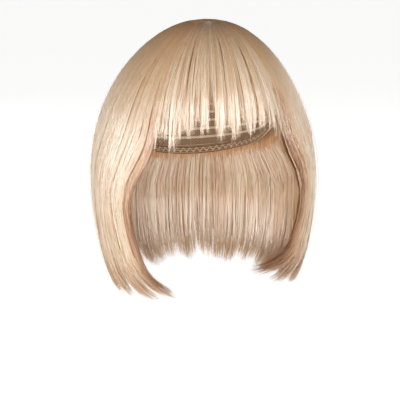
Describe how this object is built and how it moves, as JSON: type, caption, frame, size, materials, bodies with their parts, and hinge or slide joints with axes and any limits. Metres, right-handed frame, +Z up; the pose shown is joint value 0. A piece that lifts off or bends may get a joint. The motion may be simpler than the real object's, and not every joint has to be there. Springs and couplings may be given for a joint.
{
  "type": "bob wig",
  "caption": "Straight blonde bob wig with a full fringe: sections of hair fall from a crown whorl over a fitted net cap and turn in at the ends",
  "frame": {"origin": "inside of the cap at the top of the head, where the wig rests on the wearer", "axes": "+Z up along the wearer's head, -Y the way the face opening looks, +X the wearer's left"},
  "size_m": [0.2299, 0.226, 0.2773],
  "materials": {
    "hair": "glossy synthetic fibre, combed straight, platinum to honey blonde",
    "cap_net": "beige stretch net with weft rows",
    "elastic": "matt woven elastic"
  },
  "bodies": {
    "root": {"cap": "cap_net", "edge_band": "elastic", "hair_whorl": "hair", "hair_fringe": "hair", "hair_side_left": "hair", "hair_side_right": "hair", "hair_back_left": "hair", "hair_back": "hair", "hair_back_right": "hair"}
  },
  "joints": []
}
